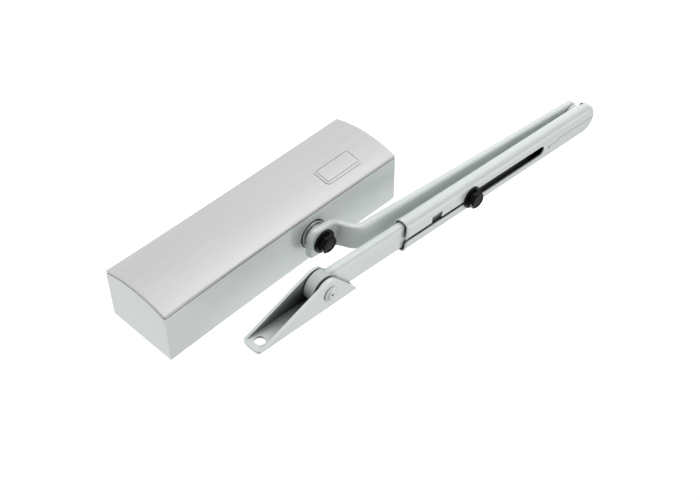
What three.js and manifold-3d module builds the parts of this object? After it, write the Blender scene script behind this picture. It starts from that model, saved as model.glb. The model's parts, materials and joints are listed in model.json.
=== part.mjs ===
// Overhead door closer with a folding double-lever arm, in millimetres.
// Origin: centre of the body's mounting face. +Y points into the door, +Z along the spindle
// towards the arm, X along the body. At rest the arm is folded back beside the body.

import * as THREE from 'three';
import { mergeVertices } from 'three/addons/utils/BufferGeometryUtils.js';
import Module from 'manifold-3d';

const wasm = await Module();
wasm.setup();

// ---- Driving dimensions ----------------------------------------------------------------------

const gap = 0.3; // clearance between neighbouring pieces
const far = 60; // reaches past any face, for cutting tools
const degrees = Math.PI / 180;

// Cover and faceplate
const coverHalfLength = 108.6;
const coverHalfHeight = 30;
const coverBow = 1; // how far the long sides pull in at mid-length
const coverWall = 1.6;
const coverRim = -gap; // the open rim stops just short of the door
const plateEdge = -42.7; // Y of the faceplate's long edges
const plateCrown = 5; // how far the faceplate bulges between its edges
const plateThickness = 2;
const plateSeam = 0.4;
const clip = { front: -33, bodyEnd: -8, coverEnd: -6, half: 6, thickness: 0.8 };
const badge = { x: -67.5, z: 11.7, length: 35, height: 16.5, corner: 3, thickness: 0.4 };

// Spindle axis and cylinder bore
const spindle = { x: -25, y: -22.3 };
const bore = 16.5;
const openingRadius = 11.8;
const spindleCap = { radius: openingRadius - gap, wall: 0.9, bottom: -36.2, rim: -28 };

// Cylinder body
const bodyHalfLength = 98;
const bodyHalfHeight = 19.5;
const bodyFront = -42;
const bodyShoulder = { depth: -33, half: 11 }; // where the front's slopes start and end
const bossRadius = 14;
const bossHalf = 27;
const shaftHole = 10;
const lug = { length: 16, top: 27, thickness: 7, holeX: 90, holeZ: 23.5, holeRadius: 3.2 };

// Rack and pinion
const gear = { module: 1.6, teeth: 10, pressure: 25 * degrees, half: 10, backlash: 0.3 };
gear.pitch = gear.module * gear.teeth / 2;
gear.base = gear.pitch * Math.cos(gear.pressure);
gear.tip = gear.pitch + 0.75 * gear.module;
gear.root = gear.pitch - gear.module;
gear.tooth = Math.PI * gear.module / 2 - gear.backlash / 2;
const shaftRadius = 7.5;
const shaftBottom = -30.9;
const lowerSquareEnd = -34.2;
const collar = { radius: 9.3, bottom: 30.9, top: 33.7 };
const square = 10.6;
const piston = { radius: 16.2, left: -78, right: 6, windowLeft: -60.3, windowRight: -14.8 };
const grooveDepth = 1.6;
const sealWidth = 2;
const checkBall = { radius: 2.6, pocket: 3.5, pocketDepth: 8.4, passage: 1.4, inset: 5.4 };

// End plugs, spring and adjusters
const plugLength = 10;
const keySocketRadius = 5.8;
const seat = { left: 80.5, right: 84.5, radius: 15.8 };
const tensionScrew = {
  radius: 3, tip: 66, collarRadius: 6, collarLeft: 85.2, collarRight: 87.7, neck: 3.9, grooveFloor: 2.8,
};
const spring = { meanRadius: 12.2, wire: 1.9, turns: 9 };
const valve = { y: -5.6, z: 15.2, radius: 2.3, hole: 2.6, inner: -84, outer: -98.6 };

// Arm: each lever is drawn along its own +X, then turned to where it lies at rest
const mainAngle = (180 - 7.85) * degrees;
const mainLength = 273; // spindle to elbow
const hub = { half: 11.8, end: 12.5, bottom: 34, thickness: 5.5, taperFrom: 6, taperTo: 18 };
const bar = { half: 10, bottom: 49, thickness: 6 };
const crank = { start: 8, slope: 62 * degrees, radius: 8, steps: 5 };
const rivetRadius = 4;
const armScrew = { shank: 3, tip: 24, head: 7.4, height: 4.8, washer: 9.3 };
const washerThickness = 1.3;

const shoePivot = { x: 3, y: -16 };
const elbow = {
  x: spindle.x + mainLength * Math.cos(mainAngle),
  y: spindle.y + mainLength * Math.sin(mainAngle),
};
const foreAngle = Math.atan2(elbow.y - shoePivot.y, elbow.x - shoePivot.x);
const foreLength = Math.hypot(elbow.x - shoePivot.x, elbow.y - shoePivot.y);
const channel = { half: 13, bottom: 59, top: 70.5, wall: 1.2, corner: 4.5, mouth: 80.5, overhang: 2.5 };
const notch = { left: 110.5, right: 120.5, top: 4.4 };
const seam = { start: 254.8, step: 266.4, low: -1.4, high: 1, width: 0.5 };
const endGap = { from: 298, to: 304.5 };
const slot = { left: 146, right: 245, half: 4.3, offset: -0.6 };
const slit = { width: 2.4, offset: -2.2, lip: 3 };
const rod = { half: 11, bottom: 60.5, top: 68.2, corner: 2.8, end: 165.6 };
const eye = { radius: 11.8, bottom: 59.9, top: 68.5, bush: 5.2 };
const clamp = { along: 154.6, offset: -0.6, shank: 2.9, head: 7.2, height: 5.1, washer: 9 };

const shoeAngle = (180 - 4.8) * degrees;
const shoe = { bottom: 56.2, top: 74, wall: 2.3, base: -14.4, plate: 2.2, tip: -64, heel: 27, corner: 1.5 };
const shoeHole = { radius: 4, tip: -56.5, heel: 17 };

// ---- Materials -------------------------------------------------------------------------------

const finishes = {
  paint: { color: 0xcdd3d1, roughness: 0.35, metalness: 0.25 },
  brushed: { color: 0xc8c5c1, roughness: 0.4, metalness: 0.85 },
  cast: { color: 0x9a9c9c, roughness: 0.6, metalness: 0.7 },
  steel: { color: 0xb4b6b6, roughness: 0.35, metalness: 0.9 },
  black: { color: 0x101010, roughness: 0.45, metalness: 0.5 },
  spring: { color: 0x55585c, roughness: 0.4, metalness: 0.8 },
  rubber: { color: 0x161616, roughness: 0.9, metalness: 0 },
  plastic: { color: 0xc4c8c7, roughness: 0.5, metalness: 0 },
  bronze: { color: 0x9a7a48, roughness: 0.5, metalness: 0.8 },
};

// ---- Solids ----------------------------------------------------------------------------------

function toSolid(source) {
  const bare = source.clone();
  bare.deleteAttribute('normal');
  bare.deleteAttribute('uv');
  const merged = mergeVertices(bare, 1e-4);
  const vertProperties = Float32Array.from(merged.attributes.position.array);
  const triVerts = Uint32Array.from(merged.index.array);
  turnOutward(vertProperties, triVerts);
  return new wasm.Manifold(new wasm.Mesh({ numProp: 3, vertProperties, triVerts }));
}

// A revolved profile may come out inside out, so its winding is put right by its signed volume.
function turnOutward(points, triangles) {
  const corner = (index) => new THREE.Vector3().fromArray(points, 3 * index);
  let volume = 0;
  for (let i = 0; i < triangles.length; i += 3) {
    const cross = corner(triangles[i + 1]).cross(corner(triangles[i + 2]));
    volume += corner(triangles[i]).dot(cross);
  }
  if (volume < 0) triangles.reverse();
}

function toGeometry(solid) {
  const mesh = solid.getMesh();
  const geometry = new THREE.BufferGeometry();
  geometry.setAttribute('position', new THREE.BufferAttribute(mesh.vertProperties, mesh.numProp));
  geometry.setIndex(new THREE.BufferAttribute(mesh.triVerts, 1));
  geometry.computeVertexNormals();
  return geometry;
}

const join = (...solids) => solids.reduce((whole, piece) => whole.add(piece));
const cut = (solid, ...tools) => tools.reduce((rest, tool) => rest.subtract(tool), solid);

// Sends the drawing's X, Y and depth to the object's Y, Z and X, or to X, Z and -Y.
const alongX = new THREE.Matrix4().makeBasis(
  new THREE.Vector3(0, 1, 0), new THREE.Vector3(0, 0, 1), new THREE.Vector3(1, 0, 0));
const alongY = new THREE.Matrix4().makeBasis(
  new THREE.Vector3(1, 0, 0), new THREE.Vector3(0, 0, 1), new THREE.Vector3(0, -1, 0));

function outline(points) {
  return new THREE.Shape(points.map(([x, y]) => new THREE.Vector2(x, y)));
}

function prism(shape, from, to, turn = new THREE.Matrix4(), curveSegments = 8) {
  const geometry = new THREE.ExtrudeGeometry(shape, { depth: to - from, bevelEnabled: false, curveSegments });
  return toSolid(geometry.translate(0, 0, from).applyMatrix4(turn));
}

// A plate whose rim is rounded top and bottom.
function pillow(shape, from, to, rounding, curveSegments = 8) {
  const geometry = new THREE.ExtrudeGeometry(shape, {
    depth: to - from - 2 * rounding,
    bevelEnabled: true,
    bevelThickness: rounding,
    bevelSize: rounding,
    bevelOffset: -rounding,
    bevelSegments: 2,
    curveSegments,
  });
  return toSolid(geometry.translate(0, 0, from + rounding));
}

function box(x, y, z) {
  const geometry = new THREE.BoxGeometry(x[1] - x[0], y[1] - y[0], z[1] - z[0]);
  return toSolid(geometry.translate((x[0] + x[1]) / 2, (y[0] + y[1]) / 2, (z[0] + z[1]) / 2));
}

// Revolves [radius, height] points about Z, or about X when turned.
function revolve(profile, { at = [0, 0, 0], turn = new THREE.Matrix4(), segments = 24 } = {}) {
  const points = profile.map(([radius, height]) => new THREE.Vector2(radius, height));
  const geometry = new THREE.LatheGeometry(points, segments).rotateX(Math.PI / 2);
  return toSolid(geometry.applyMatrix4(turn).translate(...at));
}

function disc(radius, from, to, options) {
  return revolve([[0, from], [radius, from], [radius, to], [0, to]], options);
}

function ring(inner, outer, from, to, options) {
  return revolve([[inner, from], [outer, from], [outer, to], [inner, to], [inner, from]], options);
}

function hexagon(radius, from, to, options) {
  return disc(radius, from, to, { ...options, segments: 6 });
}

const onSpindle = { at: [spindle.x, spindle.y, 0] };
const onBore = { at: [0, spindle.y, 0], turn: alongX };

// ---- The assembly ----------------------------------------------------------------------------

const closer = new THREE.Group();

function lever(x, y, angle) {
  const group = new THREE.Group();
  group.position.set(x, y, 0);
  group.rotation.z = angle;
  closer.add(group);
  return group;
}

const mainLever = lever(spindle.x, spindle.y, mainAngle);
const foreLever = lever(shoePivot.x, shoePivot.y, foreAngle);
const shoeLever = lever(shoePivot.x, shoePivot.y, shoeAngle);

function place(name, solid, finish, parent = closer) {
  const mesh = new THREE.Mesh(toGeometry(solid), new THREE.MeshStandardMaterial(finishes[finish]));
  mesh.name = name;
  parent.add(mesh);
}

// ---- Cover and faceplate ---------------------------------------------------------------------

const archRadius = (coverHalfHeight ** 2 + plateCrown ** 2) / (2 * plateCrown);

// The front arch at a depth below the faceplate's surface, as [Y, Z] points.
function archPoints(depth, halfHeight, steps = 10) {
  const centre = plateEdge - plateCrown + archRadius;
  const radius = archRadius - depth;
  const points = [];
  for (let i = 0; i <= steps; i += 1) {
    const z = halfHeight * (1 - 2 * i / steps);
    points.push([centre - Math.sqrt(radius ** 2 - z ** 2), z]);
  }
  return points;
}

// The body's outline seen from the front, with the long sides pulled in by the bow.
function bowedOutline(inset) {
  const halfLength = coverHalfLength - inset;
  const halfHeight = coverHalfHeight - inset;
  const steps = 8;
  const points = [];
  for (const side of [-1, 1]) {
    for (let i = 0; i <= steps; i += 1) {
      const t = side * (2 * i / steps - 1);
      points.push([-t * halfLength, side * (halfHeight - coverBow * (1 - t ** 2))]);
    }
  }
  return outline(points);
}

function bowedPrism(inset) {
  return prism(bowedOutline(inset), -5, far, alongY);
}

function archedBlock(depth, back, inset) {
  const halfHeight = coverHalfHeight + 2;
  const section = outline([[back, halfHeight], ...archPoints(depth, halfHeight), [back, -halfHeight]]);
  return prism(section, -coverHalfLength - 5, coverHalfLength + 5, alongX).intersect(bowedPrism(inset));
}

function coverShell() {
  const shellDepth = plateThickness + plateSeam;
  const outside = archedBlock(shellDepth, coverRim, 0);
  const inside = archedBlock(shellDepth + coverWall, 5, coverWall);
  const openings = disc(openingRadius, -far, far, onSpindle);
  return cut(outside, inside, openings);
}

function faceplate() {
  const inner = archedBlock(plateThickness, coverRim, -1);
  return cut(archedBlock(0, coverRim, 0), inner);
}

function roundedRectangle(length, height, corner) {
  const x = length / 2 - corner;
  const y = height / 2 - corner;
  const shape = new THREE.Shape();
  shape.absarc(x, y, corner, 0, Math.PI / 2);
  shape.absarc(-x, y, corner, Math.PI / 2, Math.PI);
  shape.absarc(-x, -y, corner, Math.PI, 1.5 * Math.PI);
  shape.absarc(x, -y, corner, 1.5 * Math.PI, 2 * Math.PI);
  shape.closePath();
  return shape;
}

// A blank pad that follows the faceplate's arch.
function badgePad() {
  const shape = roundedRectangle(badge.length, badge.height, badge.corner);
  const turn = new THREE.Matrix4().makeTranslation(badge.x, 0, badge.z).multiply(alongY);
  const layer = cut(archedBlock(-gap - badge.thickness, coverRim, 0), archedBlock(-gap, coverRim, -1));
  return prism(shape, 30, far, turn, 4).intersect(layer);
}

// A spring strip between an end of the cylinder body and the cover's end wall.
function coverClip(side) {
  const inner = bodyHalfLength + gap;
  const outer = coverHalfLength - coverWall - gap;
  const { front, bodyEnd, coverEnd, half, thickness } = clip;
  const profile = [
    [inner, bodyEnd], [inner, front], [outer, front], [outer, coverEnd],
    [outer - thickness, coverEnd], [outer - thickness, front + thickness],
    [inner + thickness, front + thickness], [inner + thickness, bodyEnd],
  ];
  return prism(outline(profile.map(([x, y]) => [side * x, y])), -half, half);
}

place('cover_shell', coverShell(), 'paint');
place('faceplate', faceplate(), 'brushed');
place('badge_pad', badgePad(), 'brushed');
place('cover_clip_left', coverClip(-1), 'steel');
place('cover_clip_right', coverClip(1), 'steel');

place('lower_spindle_cap', revolve([
  [0, spindleCap.bottom], [spindleCap.radius - 1.6, spindleCap.bottom],
  [spindleCap.radius, spindleCap.bottom + 1.6], [spindleCap.radius, spindleCap.rim],
  [spindleCap.radius - spindleCap.wall, spindleCap.rim],
  [spindleCap.radius - spindleCap.wall, spindleCap.bottom + 1.6], [0, spindleCap.bottom + 1.6],
], onSpindle), 'plastic');

// ---- Cylinder body ---------------------------------------------------------------------------

function mountingLugs() {
  const lugs = [];
  for (const x of [-1, 1]) {
    for (const z of [-1, 1]) {
      const ends = [x * bodyHalfLength, x * (bodyHalfLength - lug.length)].sort((a, b) => a - b);
      const heights = [z * (bodyHalfHeight - 1), z * lug.top].sort((a, b) => a - b);
      lugs.push(box(ends, [-lug.thickness, 0], heights));
    }
  }
  return join(...lugs);
}

function mountingHoles() {
  const holes = [];
  for (const x of [-lug.holeX, lug.holeX]) {
    for (const z of [-lug.holeZ, lug.holeZ]) {
      holes.push(disc(lug.holeRadius, -5, lug.thickness + 5, { at: [x, 0, z], turn: alongY, segments: 16 }));
    }
  }
  return join(...holes);
}

function cylinderBody() {
  const section = outline([
    [0, -bodyHalfHeight], [bodyShoulder.depth, -bodyHalfHeight],
    [bodyFront, -bodyShoulder.half], [bodyFront, bodyShoulder.half],
    [bodyShoulder.depth, bodyHalfHeight], [0, bodyHalfHeight],
  ]);
  const block = prism(section, -bodyHalfLength, bodyHalfLength, alongX);
  const boss = disc(bossRadius, -bossHalf, bossHalf, onSpindle);
  const mainBore = disc(bore, -bodyHalfLength - 5, bodyHalfLength + 5, { ...onBore, segments: 32 });
  const shaftBore = disc(shaftHole, -far, far, onSpindle);
  const valveHoles = [-1, 1].map((side) => disc(valve.hole, -bodyHalfLength - 5, valve.inner + 1,
    { at: [0, valve.y, side * valve.z], turn: alongX, segments: 12 }));
  return cut(join(block, boss, mountingLugs()), mainBore, shaftBore, mountingHoles(), ...valveHoles);
}

// An end plug with a groove for its O-ring; hole is the radius of its centre hole.
function endPlug(from, to, hole) {
  const groove = (from + to) / 2;
  const half = sealWidth / 2 + gap;
  const radius = bore - gap;
  const floor = radius - grooveDepth;
  return revolve([
    [hole, from], [radius, from], [radius, groove - half], [floor, groove - half],
    [floor, groove + half], [radius, groove + half], [radius, to], [hole, to], [hole, from],
  ], onBore);
}

function sealRing(innerRadius, outerRadius, centre, axis) {
  return ring(innerRadius + gap, outerRadius, centre - sealWidth / 2, centre + sealWidth / 2, axis);
}

const plugInner = bodyHalfLength - plugLength;
const plugGroove = (plugInner + bodyHalfLength) / 2;
const plugFloor = bore - gap - grooveDepth;
const keySocket = hexagon(keySocketRadius, -bodyHalfLength - 1, -bodyHalfLength + 5, onBore);

place('cylinder_body', cylinderBody(), 'cast');
place('spring_end_plug', endPlug(plugInner, bodyHalfLength, tensionScrew.neck + gap), 'steel');
place('valve_end_plug', join(
  endPlug(-bodyHalfLength, -plugInner, keySocketRadius + 0.7),
  cut(disc(keySocketRadius + 1.2, -bodyHalfLength, -plugInner, onBore), keySocket),
), 'steel');
place('spring_plug_oring', sealRing(plugFloor, bore - gap, plugGroove, onBore), 'rubber');
place('valve_plug_oring', sealRing(plugFloor, bore - gap, -plugGroove, onBore), 'rubber');

// ---- Spindle bearings, seals and retaining rings, one set at each end --------------------------

for (const [end, side, ringRadius] of [['upper', 1, 10.9], ['lower', -1, 10.3]]) {
  const band = (inner, outer, from, to) => {
    const [low, high] = [side * from, side * to].sort((a, b) => a - b);
    return ring(inner, outer, low, high, onSpindle);
  };
  place(`${end}_bearing`, band(shaftRadius + gap, shaftHole - gap, 17, 23.6), 'bronze');
  place(`${end}_spindle_seal`, band(shaftRadius + gap, shaftHole - gap, 24, 26.6), 'rubber');
  place(`${end}_retaining_ring`, band(shaftRadius + gap, ringRadius, bossHalf + gap, 30.5), 'steel');
}

// ---- Toothed spindle ---------------------------------------------------------------------------

const involute = (angle) => Math.tan(angle) - angle;

// Half the tooth's angle at a radius on its involute flank.
function flankAngle(radius) {
  const half = gear.tooth / (2 * gear.pitch) + involute(gear.pressure);
  return half - involute(Math.acos(Math.min(1, gear.base / radius)));
}

function gearOutline() {
  const radii = [gear.root, gear.base, gear.pitch, (gear.pitch + gear.tip) / 2, gear.tip];
  const points = [];
  for (let tooth = 0; tooth < gear.teeth; tooth += 1) {
    const centre = 2 * Math.PI * tooth / gear.teeth - Math.PI / 2;
    const rising = radii.map((radius) => [radius, centre - flankAngle(radius)]);
    const falling = radii.toReversed().map((radius) => [radius, centre + flankAngle(radius)]);
    for (const [radius, angle] of [...rising, ...falling]) {
      points.push([radius * Math.cos(angle), radius * Math.sin(angle)]);
    }
  }
  return outline(points);
}

function pinionShaft() {
  const atSpindle = new THREE.Matrix4().makeTranslation(spindle.x, spindle.y, 0);
  const teeth = prism(gearOutline(), -gear.half, gear.half, atSpindle);
  const shaft = disc(shaftRadius, shaftBottom, collar.bottom, onSpindle);
  const shoulders = [-1, 1].map((side) => {
    const [low, high] = [side * (gear.half - 0.01), side * (gear.half + 0.6)].sort((a, b) => a - b);
    return disc(gear.root + 0.3, low, high, onSpindle);
  });
  const ends = cut(shaft, box([-far, far], [-far, far], [-gear.half - 0.5, gear.half + 0.5]));
  const flange = disc(collar.radius, collar.bottom, collar.top, onSpindle);
  const topSquare = hubSquare(square, collar.top - 1, hub.bottom + hub.thickness - gap);
  const lowerSquare = hubSquare(square, lowerSquareEnd, shaftBottom + 0.9);
  const screwHole = disc(armScrew.shank + gap, 20, 50, { ...onSpindle, segments: 16 });
  return cut(join(teeth, ...shoulders, ends, flange, topSquare, lowerSquare), screwHole);
}

// A square bar on the spindle axis, turned in line with the main arm.
function hubSquare(side, from, to) {
  const geometry = new THREE.BoxGeometry(side, side, to - from);
  geometry.rotateZ(mainAngle).translate(spindle.x, spindle.y, (from + to) / 2);
  return toSolid(geometry);
}

place('pinion_shaft', pinionShaft(), 'steel');

// ---- Rack piston ---------------------------------------------------------------------------------

function rackTeeth() {
  const pitch = Math.PI * gear.module;
  const tipLine = spindle.y - (gear.pitch - 0.75 * gear.module);
  const rootLine = spindle.y - (gear.pitch + gear.module) - 0.5;
  const slope = Math.tan(gear.pressure);
  const tipHalf = gear.tooth / 2 - 0.75 * gear.module * slope;
  const rootHalf = gear.tooth / 2 + (gear.module + 0.5) * slope;
  const teeth = [];
  for (let tooth = -7; tooth <= 1; tooth += 1) {
    const centre = spindle.x + pitch * (tooth + 0.5);
    teeth.push(prism(outline([
      [centre - rootHalf, rootLine], [centre + rootHalf, rootLine],
      [centre + tipHalf, tipLine], [centre - tipHalf, tipLine],
    ]), -gear.half + 0.2, gear.half - 0.2));
  }
  return join(...teeth);
}

function sealGroove(centre) {
  const half = sealWidth / 2 + gap;
  return ring(piston.radius - grooveDepth, bore + 1, centre - half, centre + half, onBore);
}

const pistonGrooves = { left: piston.left + 6, right: piston.right - 6 };

function rackPiston() {
  const barrel = disc(piston.radius, piston.left, piston.right, { ...onBore, segments: 32 });
  const rackRoot = spindle.y - gear.pitch - gear.module;
  const windowTop = spindle.y + gear.tip + 0.7;
  const window = box([piston.windowLeft, piston.windowRight], [rackRoot, windowTop], [-far, far]);
  const rack = rackTeeth().intersect(box(
    [piston.windowLeft - 1, piston.windowRight + 1], [rackRoot - 0.4, 0], [-far, far]));
  const pocket = disc(checkBall.pocket, piston.left - 1, piston.left + checkBall.pocketDepth,
    { ...onBore, segments: 16 });
  const passage = disc(checkBall.passage, piston.left, piston.windowLeft + 1, { ...onBore, segments: 16 });
  const hollowed = cut(barrel, window, pocket, passage,
    sealGroove(pistonGrooves.left), sealGroove(pistonGrooves.right));
  return join(hollowed, rack);
}

place('rack_piston', rackPiston(), 'steel');
const pistonFloor = piston.radius - grooveDepth;
place('piston_seal_left', sealRing(pistonFloor, piston.radius, pistonGrooves.left, onBore), 'rubber');
place('piston_seal_right', sealRing(pistonFloor, piston.radius, pistonGrooves.right, onBore), 'rubber');
place('check_ball', toSolid(new THREE.SphereGeometry(checkBall.radius, 12, 8)
  .translate(piston.left + checkBall.inset, spindle.y, 0)), 'steel');
place('check_ball_retainer', ring(checkBall.passage, checkBall.pocket - gap, piston.left + 0.4, piston.left + 2,
  onBore), 'bronze');

// ---- Main spring, its seat and the tension screw ---------------------------------------------------

class Helix extends THREE.Curve {
  constructor(radius, from, to, turns) {
    super();
    Object.assign(this, { radius, from, to, turns });
  }

  getPoint(t, target = new THREE.Vector3()) {
    const angle = 2 * Math.PI * this.turns * t;
    const y = spindle.y + this.radius * Math.cos(angle);
    return target.set(this.from + (this.to - this.from) * t, y, this.radius * Math.sin(angle));
  }
}

function mainSpring() {
  const reach = spring.wire + 0.6;
  const path = new Helix(spring.meanRadius, piston.right + reach, seat.left - reach, spring.turns);
  const points = [];
  for (let i = 0; i < 6; i += 1) {
    points.push([spring.wire * Math.cos(i * Math.PI / 3), spring.wire * Math.sin(i * Math.PI / 3)]);
  }
  const coil = { extrudePath: path, steps: 12 * spring.turns, bevelEnabled: false };
  return toSolid(new THREE.ExtrudeGeometry(outline(points), coil));
}

function tensionScrewSolid() {
  const { radius, tip, collarRadius, collarLeft, collarRight, neck, grooveFloor } = tensionScrew;
  const groove = { left: plugGroove - 1.3, right: plugGroove + 1.3 };
  const body = revolve([
    [0, tip], [radius, tip], [radius, collarLeft], [collarRadius, collarLeft], [collarRadius, collarRight],
    [neck, collarRight], [neck, groove.left], [grooveFloor, groove.left], [grooveFloor, groove.right],
    [neck, groove.right], [neck, bodyHalfLength], [0, bodyHalfLength],
  ], onBore);
  return cut(body, hexagon(2.4, bodyHalfLength - 3, bodyHalfLength + 1, onBore));
}

place('main_spring', mainSpring(), 'spring');
place('spring_seat', ring(tensionScrew.radius + gap, seat.radius, seat.left, seat.right, onBore), 'steel');
place('tension_screw', tensionScrewSolid(), 'steel');
place('tension_screw_oring', ring(tensionScrew.grooveFloor + gap, tensionScrew.neck,
  plugGroove - 0.9, plugGroove + 0.9, onBore), 'rubber');

// ---- Speed valves ----------------------------------------------------------------------------------

function speedValve(axis) {
  const { radius, inner, outer } = valve;
  const groove = { left: inner - 4.4, right: inner - 2.8, floor: 1.3 };
  const body = revolve([
    [0, inner], [0.6, inner], [radius - 0.9, inner - 2], [radius, inner - 2.4], [radius, groove.right],
    [groove.floor, groove.right], [groove.floor, groove.left], [radius, groove.left],
    [radius, outer + 0.4], [radius - 0.4, outer], [0, outer],
  ], axis);
  const driverSlot = box([outer - 1, outer + 1.2], [valve.y - 3, valve.y + 3],
    [axis.at[2] - 0.45, axis.at[2] + 0.45]);
  return cut(body, driverSlot);
}

for (const [name, side] of [['closing', 1], ['latching', -1]]) {
  const axis = { at: [0, valve.y, side * valve.z], turn: alongX, segments: 12 };
  place(`${name}_speed_valve`, speedValve(axis), 'bronze');
  place(`${name}_valve_oring`, ring(1.6, valve.radius, valve.inner - 4.1, valve.inner - 3.1, axis), 'rubber');
}

// ---- Main arm --------------------------------------------------------------------------------------

// The arm's side view: the hub steps up to the bar through a crank of two bends.
function crankCentreLine() {
  const low = hub.bottom + hub.thickness / 2;
  const high = bar.bottom + bar.thickness / 2;
  const { start, slope, radius, steps } = crank;
  const straight = (high - low - 2 * radius * (1 - Math.cos(slope))) / Math.sin(slope);
  const end = start + 2 * radius * Math.sin(slope) + straight * Math.cos(slope);
  const line = [];
  for (let i = 0; i <= steps; i += 1) {
    const angle = slope * i / steps;
    line.push([start + radius * Math.sin(angle), low + radius * (1 - Math.cos(angle)), angle]);
  }
  for (let i = steps; i >= 0; i -= 1) {
    const angle = slope * i / steps;
    line.push([end - radius * Math.sin(angle), high - radius * (1 - Math.cos(angle)), angle]);
  }
  return line;
}

function mainArmSideView() {
  const side = (sign) => crankCentreLine().map(([along, height, angle], index, line) => {
    const half = index < line.length / 2 ? hub.thickness / 2 : bar.thickness / 2;
    return [along - sign * half * Math.sin(angle), height + sign * half * Math.cos(angle)];
  });
  const farEnd = mainLength + 20;
  return outline([
    [-20, hub.bottom], ...side(-1), [farEnd, bar.bottom],
    [farEnd, bar.bottom + bar.thickness], ...side(1).reverse(), [-20, hub.bottom + hub.thickness],
  ]);
}

// The arm seen along the spindle: the hub has one small and one large corner cut, and tapers to the bar.
function mainArmPlan() {
  const { taperFrom, taperTo } = hub;
  const pull = taperFrom + 5;
  const shape = new THREE.Shape();
  shape.moveTo(-hub.end, -hub.half + 1);
  shape.lineTo(-hub.end + 1, -hub.half);
  shape.lineTo(taperFrom, -hub.half);
  shape.bezierCurveTo(pull, -hub.half, pull, -bar.half, taperTo, -bar.half);
  shape.lineTo(mainLength, -bar.half);
  shape.absarc(mainLength, 0, bar.half, -Math.PI / 2, Math.PI / 2);
  shape.lineTo(taperTo, bar.half);
  shape.bezierCurveTo(pull, bar.half, pull, hub.half, taperFrom, hub.half);
  shape.lineTo(-hub.end + 3.5, hub.half);
  shape.lineTo(-hub.end, hub.half - 5);
  shape.closePath();
  return shape;
}

function mainArm() {
  const strip = prism(mainArmSideView(), -20, 20, alongY);
  const plan = prism(mainArmPlan(), 0, far);
  const holeHalf = square / 2 + gap;
  const squareHole = box([-holeHalf, holeHalf], [-holeHalf, holeHalf], [0, bar.bottom - 2]);
  const rivetHole = disc(rivetRadius + gap, 0, far, { at: [mainLength, 0, 0], segments: 20 });
  return cut(strip.intersect(plan), squareHole, rivetHole);
}

function hexScrew(shank, shankFrom, head, headFrom, headTo, axis) {
  const chamfer = revolve([
    [0, headFrom], [head, headFrom], [head, headTo - 0.9], [head - 1.3, headTo], [0, headTo],
  ], axis);
  const hexagonHead = hexagon(head, headFrom, headTo, axis).intersect(chamfer);
  return join(hexagonHead, disc(shank, shankFrom, headFrom + 1, axis));
}

const hubTop = hub.bottom + hub.thickness;
place('main_arm', mainArm(), 'paint', mainLever);
const armWasherTop = hubTop + gap + washerThickness;
const armHead = armWasherTop + gap;
place('arm_washer', ring(armScrew.shank + gap, armScrew.washer, hubTop + gap, armWasherTop),
  'black', mainLever);
place('arm_screw', hexScrew(armScrew.shank, armScrew.tip, armScrew.head, armHead, armHead + armScrew.height),
  'black', mainLever);

// ---- Elbow -----------------------------------------------------------------------------------------

const barTop = bar.bottom + bar.thickness;
const atElbow = { at: [mainLength, 0, 0], segments: 20 };
place('elbow_rivet', revolve([
  [0, bar.bottom - 2.6], [5, bar.bottom - 2.6], [6.6, bar.bottom - 1.4], [6.6, bar.bottom - gap],
  [rivetRadius, bar.bottom - gap], [rivetRadius, rod.bottom + gap], [7, rod.bottom + gap],
  [7, rod.bottom + 1.6], [5.6, rod.bottom + 2.6], [0, rod.bottom + 2.6],
], atElbow), 'steel', mainLever);
place('elbow_washer', ring(rivetRadius + gap, 9, barTop + gap, channel.bottom - gap, atElbow),
  'plastic', mainLever);

// ---- Forearm channel and rod -------------------------------------------------------------------------

// A bar from one end to a half-round end, centred on its own line.
function barPlan(from, to, half) {
  const shape = new THREE.Shape();
  shape.moveTo(from, -half);
  shape.lineTo(to, -half);
  shape.absarc(to, 0, half, -Math.PI / 2, Math.PI / 2);
  shape.lineTo(from, half);
  shape.closePath();
  return shape;
}

function slotPlan() {
  const shape = new THREE.Shape();
  const left = slot.left + slot.half;
  const right = slot.right - slot.half;
  shape.absarc(right, slot.offset, slot.half, -Math.PI / 2, Math.PI / 2);
  shape.absarc(left, slot.offset, slot.half, Math.PI / 2, 1.5 * Math.PI);
  shape.closePath();
  return shape;
}

function forearmChannel() {
  const { half, bottom, top, wall, corner, mouth, overhang } = channel;
  const end = foreLength + overhang;
  const outside = pillow(barPlan(mouth - 20, end, half), bottom, top, corner);
  const inside = pillow(barPlan(mouth - 30, end, half - wall), bottom + wall, top - wall, corner - wall);
  const front = [top - 3, top + 5];
  const low = slit.offset - slit.width / 2;
  const high = slit.offset + slit.width / 2;
  const entry = box([mouth - 40, mouth], [-30, 30], [0, 2 * far]);
  const frontSlit = box([mouth - 5, slot.left + 3], [low, high], front);
  const window = box([notch.left, notch.right], [low, notch.top], front);
  const lipCorner = cut(
    box([mouth - 1, mouth + slit.lip], [low - slit.lip, low + 0.1], front),
    disc(slit.lip, 0, 2 * far, { at: [mouth + slit.lip, low - slit.lip, 0] }));
  const hook = box([seam.start - 1.2, seam.start + 0.2], [seam.low - 1.6, seam.low + 0.6], front);
  const seamNear = box([seam.start, seam.step], [seam.low, seam.low + seam.width], front);
  const seamStep = box([seam.step - seam.width, seam.step], [seam.low, seam.high], front);
  const seamFar = box([seam.step - 0.2, end + half - 2], [seam.high - seam.width, seam.high], front);
  const edgeGap = box([endGap.from, endGap.to], [half - 3.5, half + 2], [bottom + 1.6, bottom + 3]);
  const rivetHole = disc(rivetRadius + gap, bottom - 2, bottom + 3, { at: [foreLength, 0, 0], segments: 20 });
  return cut(outside, entry, inside, frontSlit, window, lipCorner, prism(slotPlan(), ...front),
    hook, seamNear, seamStep, seamFar, edgeGap, rivetHole);
}

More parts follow.
